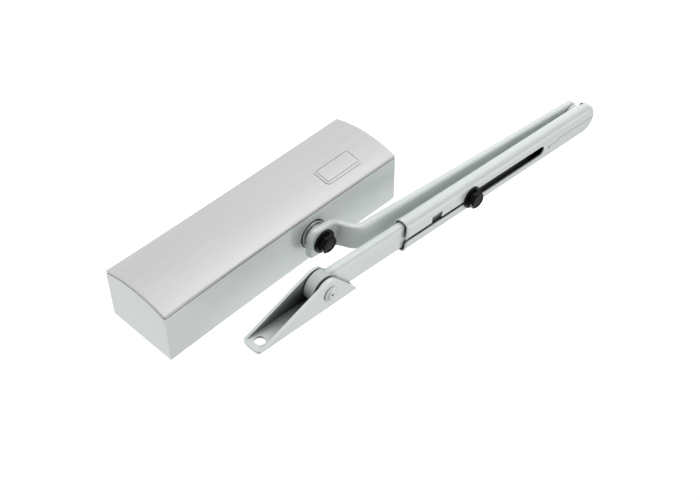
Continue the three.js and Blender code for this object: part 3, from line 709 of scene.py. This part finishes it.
def cylinder_body():
    """A cast block with a boss for the spindle and two screw lugs at each end."""
    half, shoulder, nose = 19.5, -33.0, 11.0
    boss_radius, shaft_hole = 14.0, 10.0
    lug_length, lug_depth, lug_corner, lug_inset = 16.0, 7.0, 4.0, 0.02
    screw_hole, screw_x, screw_z, screw_depth = 3.2, 90.0, 23.5, 12.0
    section = [
        (body_high.y, -half), (shoulder, -half), (body_low.y, -nose),
        (body_low.y, nose), (shoulder, half), (body_high.y, half),
    ]
    body = shape("body", stack([[(x, y, z) for y, z in section] for x in (body_low.x, body_high.x)]))
    boss = shape("boss", disc(boss_radius, body_low.z, body_high.z), on_spindle)
    lugs = []
    for side in (-1, 1):
        ends = sorted((side * (body_high.x - lug_inset), side * (body_high.x - lug_length)))
        lugs.append(rounded_block(ends, (-lug_depth, -lug_inset), (body_low.z, body_high.z), lug_corner))
    join(body, boss, *lugs)
    tools = [
        shape("bore", disc(bore_radius, body_low.x - OVERRUN, body_high.x + OVERRUN), on_bore),
        shape("shaft_hole", disc(shaft_hole, body_low.z - OVERRUN, body_high.z + OVERRUN), on_spindle),
    ]
    for x in (-screw_x, screw_x):
        for z in (-screw_z, screw_z):
            place = Matrix.Translation((x, 0, z)) @ AXIS_Y
            tools.append(shape("screw_hole", disc(screw_hole, -OVERRUN, screw_depth), place))
    for name in ("closing", "latching"):
        hole = disc(valve_hole, body_low.x - OVERRUN, valve_end + 1)
        tools.append(shape("valve_hole", hole, valve_line(name) @ AXIS_X))
    return cut(body, *tools)


def valve_line(name):
    low, high = extent(f"{name}_speed_valve")
    middle = (low + high) / 2
    return Matrix.Translation((0, middle.y, middle.z))


valve_end = extent("closing_speed_valve")[1].x


def speed_valve(name):
    """A threaded screw with a driver slot, a groove for its O-ring and a tapered tip."""
    low, high = extent(f"{name}_speed_valve")
    radius = (high.z - low.z) / 2
    groove_low, groove_high, groove_radius = high.x - 4.4, high.x - 2.8, 1.3
    margin, chamfer, pitch, thread_depth = 1.0, 0.4, 0.8, 0.35
    slot_depth, slot_half = 1.2, 0.45
    profile = [(0, low.x), (radius - chamfer, low.x), (radius, low.x + chamfer)]
    turns = int((groove_low - margin - low.x - margin) / pitch)
    profile += thread(radius, radius - thread_depth, low.x + margin, pitch, turns)
    profile += [
        (radius, groove_low - margin), (radius, groove_low), (groove_radius, groove_low),
        (groove_radius, groove_high), (radius, groove_high), (radius, high.x - 2.4),
        (radius - 0.9, high.x - 2), (0.6, high.x), (0, high.x),
    ]
    place = valve_line(name)
    screw = shape("valve", revolved(profile, 48), place @ AXIS_X)
    slot = block((low.x - 1, low.x + slot_depth), (-radius - 1, radius + 1), (-slot_half, slot_half))
    return cut(screw, shape("driver_slot", slot, place))


def end_plug(node, hole):
    """A plug for the bore, with a hole through it and a groove for its O-ring."""
    low, high = extent(node)
    radius = (high.z - low.z) / 2
    middle = (low.x + high.x) / 2
    groove_half, groove_floor = 1.3, radius - 1.6
    return shape("plug", revolved([
        (hole, low.x), (radius, low.x), (radius, middle - groove_half), (groove_floor, middle - groove_half),
        (groove_floor, middle + groove_half), (radius, middle + groove_half), (radius, high.x),
        (hole, high.x),
    ]), on_bore)


def valve_end_plug():
    """A closed plug with a hexagon socket to turn it by."""
    low, high = extent("valve_end_plug")
    hole, core_radius = 6.0, 7.0
    socket_radius, socket_depth = 5.8, 5.0
    plug = end_plug("valve_end_plug", hole)
    core = shape("core", disc(core_radius, low.x, high.x), on_bore)
    socket = shape("socket", disc(socket_radius, low.x - 1, low.x + socket_depth, 6), on_bore)
    join(plug, core)
    return cut(plug, socket)


dress(cylinder_body(), "cylinder_body", 0.8, 30)
dress(end_plug("spring_end_plug", 4.2), "spring_end_plug", 0.3)
dress(valve_end_plug(), "valve_end_plug", 0.3)
oring("spring_plug_oring")
oring("valve_plug_oring")
for valve_name in ("closing", "latching"):
    dress(speed_valve(valve_name), f"{valve_name}_speed_valve", 0.08)
    oring(f"{valve_name}_valve_oring", valve_line(valve_name) @ AXIS_X, 12)

# ---- Piston, spring and tension screw ----

dress(refined("pinion_shaft"), "pinion_shaft", 0.15)
dress(refined("rack_piston"), "rack_piston", 0.2)
for node, inner, edge in (
    ("piston_seal_left", 14.9, 0.5), ("piston_seal_right", 14.9, 0.5),
    ("check_ball_retainer", 1.4, 0.25), ("spring_seat", 3.3, 0.5),
):
    bore_ring(node, inner, edge)


def check_ball():
    low, high = extent("check_ball")
    mesh_data = bmesh.new()
    bmesh.ops.create_uvsphere(mesh_data, u_segments=32, v_segments=20, radius=(high.x - low.x) / 2)
    return shape("ball", mesh_data, Matrix.Translation((low + high) / 2))


spring_low, spring_high = extent("main_spring")
spring_wire = 1.9
spring_turns = 9
spring_split = 6.5


def spring_line(turn):
    """X of the wire's middle; the first and last half turns lie flat on their seats."""
    flat = 0.5
    active = min(max(turn - flat, 0), spring_turns - 2 * flat) / (spring_turns - 2 * flat)
    start, end = spring_low.x + spring_wire, spring_high.x - spring_wire
    return start + (end - start) * active


def main_spring(first, last):
    """The turns of a round-wire coil from one count to another."""
    mean = (spring_high.z - spring_low.z) / 2 - spring_wire
    steps = round(40 * (last - first))
    facets = 14
    rings = []
    for i in range(steps + 1):
        turn = first + (last - first) * i / steps
        angle = TURN * turn
        points = []
        for k in range(facets):
            around = TURN * k / facets
            radius = mean + spring_wire * math.cos(around)
            x = spring_line(turn) + spring_wire * math.sin(around)
            points.append((x, spindle.y + radius * math.cos(angle), radius * math.sin(angle)))
        rings.append(points)
    return shape("spring", stack(rings))


def squash_spring(piece):
    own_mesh(piece)


def tension_screw():
    """A threaded screw with a collar, a groove for its O-ring and a hexagon socket."""
    low, high = extent("tension_screw")
    groove_low, groove_high = extent("tension_screw_oring")
    radius, collar, neck, groove = 3.0, 6.0, 3.9, 2.8
    collar_left, collar_right = 85.2, 87.7
    clearance, pitch = 0.4, 1.5
    crest, root = radius - 0.1, radius - 0.6
    socket_radius, socket_depth = 2.4, 3.0
    profile = [(0, low.x), (root, low.x)]
    turns = int((collar_left - low.x - 1) / pitch)
    profile += thread(crest, root, low.x + 0.6, pitch, turns)
    profile += [
        (radius, collar_left), (collar, collar_left), (collar, collar_right), (neck, collar_right),
        (neck, groove_low.x - clearance), (groove, groove_low.x - clearance),
        (groove, groove_high.x + clearance), (neck, groove_high.x + clearance), (neck, high.x), (0, high.x),
    ]
    screw = shape("screw", revolved(profile, 48), on_bore)
    socket = shape("socket", disc(socket_radius, high.x - socket_depth, high.x + 1, 6), on_bore)
    return cut(screw, socket)


dress(check_ball(), "check_ball", 0)
piston_side = dress(main_spring(0, spring_split), "main_spring", 0)
seat_side = dress(main_spring(spring_split, spring_turns), "main_spring", 0)
seat_side.name = "main_spring.seat_side"
squash_spring(piston_side)
squash_spring(seat_side)
dress(tension_screw(), "tension_screw", 0.08, 50, 2)
oring("tension_screw_oring")

# ---- Arms ----

arm_low, arm_high = extent("main_arm")
hub_half = 11.8
hub_thickness = 5.5
hub_end = 12.5
bar_half = 10.0
bar_thickness = 6.0
crank_start = 8.0
crank_slope = math.radians(62)
crank_radius = 8.0
rivet_radius = 4.0
rivet_hole = rivet_radius + 0.3

hub_height = arm_low.z + hub_thickness / 2
bar_height = arm_high.z - bar_thickness / 2
crank_rise = bar_height - hub_height
crank_straight = (crank_rise - 2 * crank_radius * (1 - math.cos(crank_slope))) / math.sin(crank_slope)
crank_span = 2 * crank_radius * math.sin(crank_slope) + crank_straight * math.cos(crank_slope)
bend_length = crank_radius * crank_slope
crank_length = 2 * bend_length + crank_straight


def bend(angle):
    """How far a bend of the crank reaches along and up after an angle."""
    return crank_radius * math.sin(angle), crank_radius * (1 - math.cos(angle))


def crank_line(s):
    """Along, height and slope of the arm's middle line at a length s from the spindle."""
    s -= crank_start
    crank_end = crank_start + crank_span
    if s <= 0:
        return crank_start + s, hub_height, 0
    if s >= crank_length:
        return crank_end + s - crank_length, bar_height, 0
    if s < bend_length:
        angle = s / crank_radius
        along, up = bend(angle)
        return crank_start + along, hub_height + up, angle
    if s > crank_length - bend_length:
        angle = (crank_length - s) / crank_radius
        along, up = bend(angle)
        return crank_end - along, bar_height - up, angle
    run = s - bend_length
    along, up = bend(crank_slope)
    height = hub_height + up + run * math.sin(crank_slope)
    return crank_start + along + run * math.cos(crank_slope), height, crank_slope


def smooth_step(value):
    value = min(max(value, 0), 1)
    return value * value * (3 - 2 * value)


def soften(points, rounds=2):
    """Cuts the corners of an edge line, and keeps its ends."""
    for _ in range(rounds):
        cut_points = [points[0]]
        for (ax, ay), (bx, by) in zip(points, points[1:]):
            cut_points.append((0.75 * ax + 0.25 * bx, 0.75 * ay + 0.25 * by))
            cut_points.append((0.25 * ax + 0.75 * bx, 0.25 * ay + 0.75 * by))
        points = cut_points + [points[-1]]
    return points


def main_arm():
    """A slab with a broad hub, bent along the crank and pierced for the spindle and the rivet."""
    length = main_reach.length + crank_length - crank_span
    narrow_from, narrow_to = 6.0, 20.0
    body_from, body_to = 3.0, crank_start + crank_length + 6
    rounding, square_half, corner_end = 1.9, 5.6, -5
    steps = 60

    def half_at(s):
        t = smooth_step((s - narrow_from) / (narrow_to - narrow_from))
        return hub_half + (bar_half - hub_half) * t

    def hub_corner(side, start, along, across):
        return soften([
            (-hub_end, start), (-hub_end, side * (hub_half - across)),
            (-hub_end + along, side * hub_half), (corner_end, side * hub_half),
        ])

    lengths = [body_from + (body_to - body_from) * i / steps for i in range(steps + 1)]
    side_line = [(s, -half_at(s)) for s in lengths] + round_end(length, bar_half)
    right = hub_corner(-1, -6.5, 2.6, 2.6) + side_line
    left = hub_corner(1, 4.5, 3.5, 5) + mirrored(side_line)
    mesh_data = slab(right, left, bar_thickness, rounding)
    for vertex in mesh_data.verts:
        s, across, height = vertex.co
        t = smooth_step((s - crank_start) / crank_length)
        height *= (hub_thickness + (bar_thickness - hub_thickness) * t) / bar_thickness
        along, middle_height, slope = crank_line(s)
        vertex.co = (along - height * math.sin(slope), across, middle_height + height * math.cos(slope))
    square = (-square_half, square_half)
    square_hole = shape("square", block(square, square, (arm_low.z - OVERRUN, arm_low.z + 2 * OVERRUN)))
    rivet_cutter = shape("hole", disc(rivet_hole, arm_high.z - 2 * OVERRUN, arm_high.z + OVERRUN),
                         Matrix.Translation((main_reach.length, 0, 0)))
    return cut(shape("arm", mesh_data), square_hole, rivet_cutter)


def hex_screw(node, shank, corner, head_height):
    """A threaded screw with a chamfered and shallowly dished hexagon head."""
    low, high = extent(node)
    head = high.z - head_height
    outer, roof = corner + 1, high.z + 0.4
    chamfer_low, chamfer_in = high.z - 1.9, corner - 2
    dish_low, dish_high, dish_floor, dish_rim = high.z - 0.45, high.z + 0.1, corner - 3.2, corner - 2.5
    pitch, root = 1.0, shank - 0.5
    screw = shape("hexagon", disc(corner, head, high.z, 6))
    crown = shape("crown", revolved([
        (0, head - 1), (outer, head - 1), (outer, chamfer_low), (chamfer_in, roof), (0, roof),
    ]))
    combine(screw, "INTERSECT", [crown])
    dish = revolved([(0, dish_low), (dish_floor, dish_low), (dish_rim, dish_high), (0, dish_high)])
    cut(screw, shape("dish", dish))
    turns = int((head - low.z) / pitch) - 1
    ridges = thread(shank, root, low.z + 0.6, pitch, turns)
    profile = [(0, low.z), (root, low.z), *ridges, (shank, head - 0.3), (shank, head + 1), (0, head + 1)]
    return join(screw, shape("thread", revolved(profile, 48)))


dress(main_arm(), "main_arm", 0.25, 50, place=main_lever)
upright_ring("arm_washer", 3.4, on_spindle, 0.35)
dress(hex_screw("arm_screw", shank=3.0, corner=7.4, head_height=4.8), "arm_screw", 0.16, 25, place=main_lever)


def elbow_rivet():
    """A domed head under the arm, and a flat one inside the channel."""
    low, high = extent("elbow_rivet")
    outer = (high.x - low.x) / 2
    dome_top = arm_high.z - bar_thickness - 0.2
    head_low = extent("forearm_channel")[0].z + 1.8
    return shape("rivet", revolved([
        (0, low.z), (4.2, low.z), (5.8, low.z + 0.5), (6.6, low.z + 1.4), (6.6, dome_top),
        (rivet_radius, dome_top), (rivet_radius, head_low), (outer, head_low),
        (outer, high.z - 1.2), (outer - 1.2, high.z - 0.3), (outer - 2.6, high.z), (0, high.z),
    ]))


dress(elbow_rivet(), "elbow_rivet", 0.2, 25, place=at_elbow)
upright_ring("elbow_washer", rivet_hole, at_elbow)

# ---- Forearm ----

channel_low, channel_high = extent("forearm_channel")
channel_half = 13.0
channel_wall = 1.2
channel_corner = 4.5
channel_mouth = 80.5
channel_height = channel_high.z - channel_low.z
slot_left, slot_right, slot_half, slot_offset = 146.0, 245.0, 4.3, -0.6
slit_low, slit_high = -3.6, -0.8
seam_start, seam_step = slot_right + 7.6, slot_right + 19.2
seam_low, seam_high, seam_width = -1.4, 1.0, 0.4
channel_end = fore_reach.length + 2.5


def channel_skin(half, thickness, rounding, middle):
    """One face of the folded sheet, up to its half-round end; the mouth flares."""
    lip_length, flare, lead = 5.0, 0.55, 8.0
    straight = [(channel_mouth - lead, -half)]
    straight += [(channel_mouth + lip_length * step / 5, -half) for step in range(-1, 6)]
    right = straight + round_end(channel_end, half)
    mesh_data = slab(right, mirrored(right), thickness, rounding)
    for vertex in mesh_data.verts:
        along = min(max((channel_mouth + lip_length - vertex.co.x) / lip_length, 0), 1)
        vertex.co.y *= 1 + flare * along ** 2 / half
        vertex.co.z *= 1 + flare * along ** 2 / (thickness / 2)
    return shape("skin", mesh_data, Matrix.Translation((0, 0, middle)))


def front_cutter(points):
    """A cutter through the channel's front wall only."""
    depth = 3.0
    return shape("cutter", prism(points, channel_high.z - depth, channel_high.z + OVERRUN))


def rectangle(left, right, low, high):
    return [(left, low), (right, low), (right, high), (left, high)]


def forearm_channel():
    """A sheet folded round the rod, with a slit, a slot, a notch and a stepped seam in its front."""
    middle = (channel_low.z + channel_high.z) / 2
    channel = channel_skin(channel_half, channel_height, channel_corner, middle)
    inside = channel_skin(channel_half - channel_wall, channel_height - 2 * channel_wall,
                          channel_corner - channel_wall, middle)
    mouth = shape("mouth", block((channel_mouth - 40, channel_mouth), (-30, 30), (40, 90)))
    slit = rectangle(channel_mouth - OVERRUN, slot_left + 3, slit_low, slit_high)
    slot = arc((slot_right - slot_half, slot_offset), slot_half, -90, 90)
    slot += arc((slot_left + slot_half, slot_offset), slot_half, 90, 270)
    notch = [(109.5, slit_low), (120, slit_low), (120.5, 4.4), (109.8, 4.4), (109.0, 3.7)]
    lip_radius = 3.0
    lip_low, lip_end = slit_low - lip_radius, channel_mouth + lip_radius
    lip = [(channel_mouth - 1, slit_low + 0.1), (channel_mouth - 1, lip_low)]
    lip += arc((lip_end, lip_low), lip_radius, 180, 90) + [(lip_end, slit_low + 0.1)]
    seam = [
        rectangle(seam_start - 1.2, seam_start + 0.2, seam_low - 1.6, seam_low + 0.6),
        rectangle(seam_start, seam_step, seam_low, seam_low + seam_width),
        rectangle(seam_step - seam_width, seam_step, seam_low, seam_high),
        rectangle(seam_step - seam_width, channel_end + channel_half - 2, seam_high - seam_width, seam_high),
    ]
    fronts = [front_cutter(points) for points in (slit, slot, notch, lip, *seam)]
    gap_length, gap_height = (301, 307.5), (channel_low.z + 2.0, channel_low.z + 3.8)
    end_gap = shape("end_gap", block(gap_length, (channel_half - 3.5, channel_half + 2), gap_height))
    rivet_cutter = shape("rivet_hole", disc(rivet_hole, channel_low.z - 2, channel_low.z + 3),
                         Matrix.Translation((fore_reach.length, 0, 0)))
    return cut(channel, inside, mouth, *fronts, end_gap, rivet_cutter)


def paint_rod_shade(piece, drum, start):
    """Sets the attribute for painted shade: 1 past a length along X, where the rod lies inside the channel, a
    little on the drum, 0 elsewhere.
    """
    drum_shade = 0.3
    mesh_data = bmesh.new()
    mesh_data.from_mesh(piece.data)
    for along in (drum + 0.3, drum + 0.6, start - 1, start + 1):  # keeps the marks' borders narrow
        everything = list(mesh_data.verts) + list(mesh_data.edges) + list(mesh_data.faces)
        bmesh.ops.bisect_plane(
            mesh_data, geom=everything, plane_co=Vector((along, 0, 0)) * MM, plane_no=(1, 0, 0))
    mesh_data.to_mesh(piece.data)
    mesh_data.free()
    layer = piece.data.attributes.new("rod_shade", "FLOAT", "POINT")
    for vertex, mark in zip(piece.data.vertices, layer.data):
        if vertex.co.x > start * MM:
            mark.value = 1
        elif vertex.co.xy.length < (drum + 0.1) * MM:
            mark.value = drum_shade
    return piece


def forearm_rod():
    """A flat blade with rounded edges, and a drum round its eye."""
    low, high = extent("forearm_rod")
    half, drum, rounding, chamfer = 11.0, 11.8, 2.9, 2.0
    eye_radius, clamp_radius = 5.5, 3.2
    blade_low, blade_high = low.z + 0.6, high.z - 0.3
    clamp_local = fore_lever.inverted() @ clamp
    end = clamp_local.x + half
    right = [(0, -half), (end - chamfer, -half), (end, -half + chamfer)]
    mesh_data = slab(right, mirrored(right), blade_high - blade_low, rounding)
    rod = shape("rod", mesh_data, Matrix.Translation((0, 0, (blade_low + blade_high) / 2)))
    join(rod, shape("drum", disc(drum, low.z, high.z)))
    eye_hole = shape("eye", disc(eye_radius, low.z - 1, high.z + 1))
    clamp_hole = shape("clamp", disc(clamp_radius, low.z - 1, high.z + 1), upright_at(clamp_local))
    # paints shade on the rod inside the channel and a little on its drum
    return paint_rod_shade(cut(rod, eye_hole, clamp_hole), drum, channel_mouth + 3)


dress(forearm_channel(), "forearm_channel", 0.3, 45, place=fore_lever)
dress(forearm_rod(), "forearm_rod", 0.4, 50, place=fore_lever)
upright_ring("clamp_washer", 3.2, upright_at(clamp), 0.35)
clamp_bolt = hex_screw("clamp_bolt", shank=2.9, corner=7.2, head_height=5.1)
dress(clamp_bolt, "clamp_bolt", 0.16, 25, place=lever_frame(clamp, fore_angle))

# ---- Shoe ----

shoe_bottom, shoe_top = (corner.z for corner in extent("shoe_bracket"))
shoe_wall = 2.3
shoe_bend = 2.6
shoe_base = -14.4
shoe_plate = 2.2
shoe_tip = -64.0
shoe_heel = 27.0


def shoe_section(offset):
    """The sheet's bent U as a long bar, moved inwards by an offset."""
    radius = shoe_bend - offset
    low, high = shoe_bottom + offset, shoe_top - offset
    floor = shoe_base + offset
    open_end = 40
    section = [(open_end, low), *arc((floor + radius, low + radius), radius, 270, 180, 8)]
    section += [*arc((floor + radius, high - radius), radius, 180, 90, 8), (open_end, high)]
    return shape("bent", stack([[(x, y, z) for y, z in section] for x in (-90 - offset, 50 + offset)]))


def shoe_side():
    """The bracket's side view: a plate, and cheeks that rise to a round ear."""
    plate_top = shoe_base + shoe_plate + 0.15
    below, beyond, heel_corner = shoe_base - OVERRUN, -80, 2
    heel = (shoe_heel - heel_corner, shoe_base + heel_corner)
    side = [(beyond, below), *arc(heel, heel_corner, -90, 0, 6), (shoe_heel, plate_top)]
    side += arc((-1.2, 0.2), 11.6, 45.5, 112.1)
    side += [(shoe_tip + 1, plate_top), (beyond, plate_top)]
    return shape("side_view", prism(side, shoe_bottom - OVERRUN, shoe_top + OVERRUN))


def shoe_plan(middle, half):
    """The bracket's plan, with a slightly bulging tip."""
    edge = [
        (shoe_tip - 1.5, 0), (shoe_tip - 1.3, -half / 3), (shoe_tip - 0.8, -0.7 * half), (shoe_tip, 1 - half),
        (shoe_tip + 0.6, 0.2 - half), (shoe_tip + 1.4, -half - 1), (50, -half - 1),
    ]
    plan = [(x, middle + z) for x, z in edge + mirrored(edge[::-1])]
    return shape("plan_view", stack([[(x, y, z) for x, z in plan] for y in (-30, 60)]))


def shoe_bracket():
    """A bent bar trimmed by its side view and its plan."""
    middle = (shoe_bottom + shoe_top) / 2
    half = (shoe_top - shoe_bottom) / 2
    screw_hole = 4.0
    bracket = cut(shoe_section(0), shoe_section(shoe_wall))
    combine(bracket, "INTERSECT", [shoe_side()])
    combine(bracket, "INTERSECT", [shoe_plan(middle, half)])
    holes = [shape("hole", disc(screw_hole, 5, 25), Matrix.Translation((along, 0, middle)) @ AXIS_Y)
             for along in (-56.5, 17.0)]
    pivot_hole = shape("pivot_hole", disc(rivet_hole, shoe_bottom - 1, shoe_top + 1))
    return cut(bracket, pivot_hole, *holes)


def shoe_rivet():
    """A flat painted head with a low dome in its middle and a dimple in the dome."""
    low, high = extent("shoe_rivet")
    head = shoe_top + 0.1
    return shape("rivet", revolved([
        (0, low.z), (rivet_radius, low.z), (rivet_radius, head), (5.9, head), (5.9, head + 0.5),
        (5.4, head + 1.0), (4.0, head + 1.2), (3.6, high.z - 0.5), (2.9, high.z - 0.1), (1.6, high.z),
        (0.9, high.z - 0.2), (0.7, high.z - 1.3), (0, high.z - 1.4),
    ]))


dress(shoe_bracket(), "shoe_bracket", 0.35, 40, place=shoe_lever)
dress(shoe_rivet(), "shoe_rivet", 0.15, 25, place=at_pivot)
for ring_name in ("shoe_rear_washer", "shoe_front_washer", "eye_bush"):
    upright_ring(ring_name, rivet_hole, at_pivot)


# ---- Floor, light and camera ----

def studio_floor():
    """A wide floor, bright enough to stay white under the closer's shadow."""
    half_width, depth = 8000, 400
    mesh_data = bmesh.new()
    bmesh.ops.create_grid(mesh_data, x_segments=1, y_segments=1, size=half_width)
    floor = shape("floor", mesh_data, Matrix.Translation((0, 0, -depth)))
    shader = Shader("floor_white", Roughness=0.8)
    shader.principled.inputs["Emission Strength"].default_value = 0.6
    shader.principled.inputs["Emission Color"].default_value = (1, 1, 1, 1)
    cloud = shader.noise(1.5, 2)
    shader.feed("Base Color", shader.mottled(cloud, (0.90, 0.90, 0.90), (0.92, 0.92, 0.92)))
    floor.data.materials.append(shader.material)


def area_light(name, place, size, power):
    """A square light in metres and watts, turned to the middle of the object."""
    target = Vector((-0.1, 0, 0))
    light = bpy.data.lights.new(name, "AREA")
    light.shape = "SQUARE"
    light.size = size
    light.energy = power
    lamp = bpy.data.objects.new(name, light)
    lamp.location = place
    lamp.rotation_euler = (target - Vector(place)).to_track_quat("-Z", "Y").to_euler()
    bpy.context.scene.collection.objects.link(lamp)


def studio_world():
    """White surroundings that are brightest towards -X and dimmer towards +X."""
    world = bpy.data.worlds.new("studio")
    bpy.context.scene.world = world
    world.use_nodes = True
    tree = world.node_tree
    background = tree.nodes["Background"]
    background.inputs["Color"].default_value = (1, 1, 1, 1)
    direction = tree.nodes.new("ShaderNodeTexCoord")
    parts = tree.nodes.new("ShaderNodeSeparateXYZ")
    fall = tree.nodes.new("ShaderNodeMapRange")
    for socket, value in (("From Min", -1), ("From Max", 1), ("To Min", 0.64), ("To Max", 0.34)):
        fall.inputs[socket].default_value = value
    tree.links.new(direction.outputs["Generated"], parts.inputs["Vector"])
    tree.links.new(parts.outputs["X"], fall.inputs["Value"])
    tree.links.new(fall.outputs["Result"], background.inputs["Strength"])


def photo_camera():
    """Looks down on the arm side from a front corner, as the photo does."""
    camera = bpy.data.cameras.new("camera")
    camera.lens = 63.15
    camera.sensor_width = 36
    camera.clip_end = 100
    viewer = bpy.data.objects.new("camera", camera)
    right = Vector((-0.6958, 0, 0.7182))
    up = Vector((-0.5157, -0.6960, -0.4996))
    back = Vector((0.4999, -0.7180, 0.4843))
    turn = Matrix((right, up, back)).transposed().to_4x4()
    viewer.matrix_world = Matrix.Translation((0.3945, -0.6340, 0.4717)) @ turn
    bpy.context.scene.collection.objects.link(viewer)
    bpy.context.scene.camera = viewer


studio_floor()
studio_world()
area_light("top", (-0.7, -1.5, 0.3), 1.2, 7)
area_light("side", (-0.8, 0.6, 1.3), 1.4, 9)
photo_camera()
bpy.context.scene.view_settings.view_transform = "Standard"
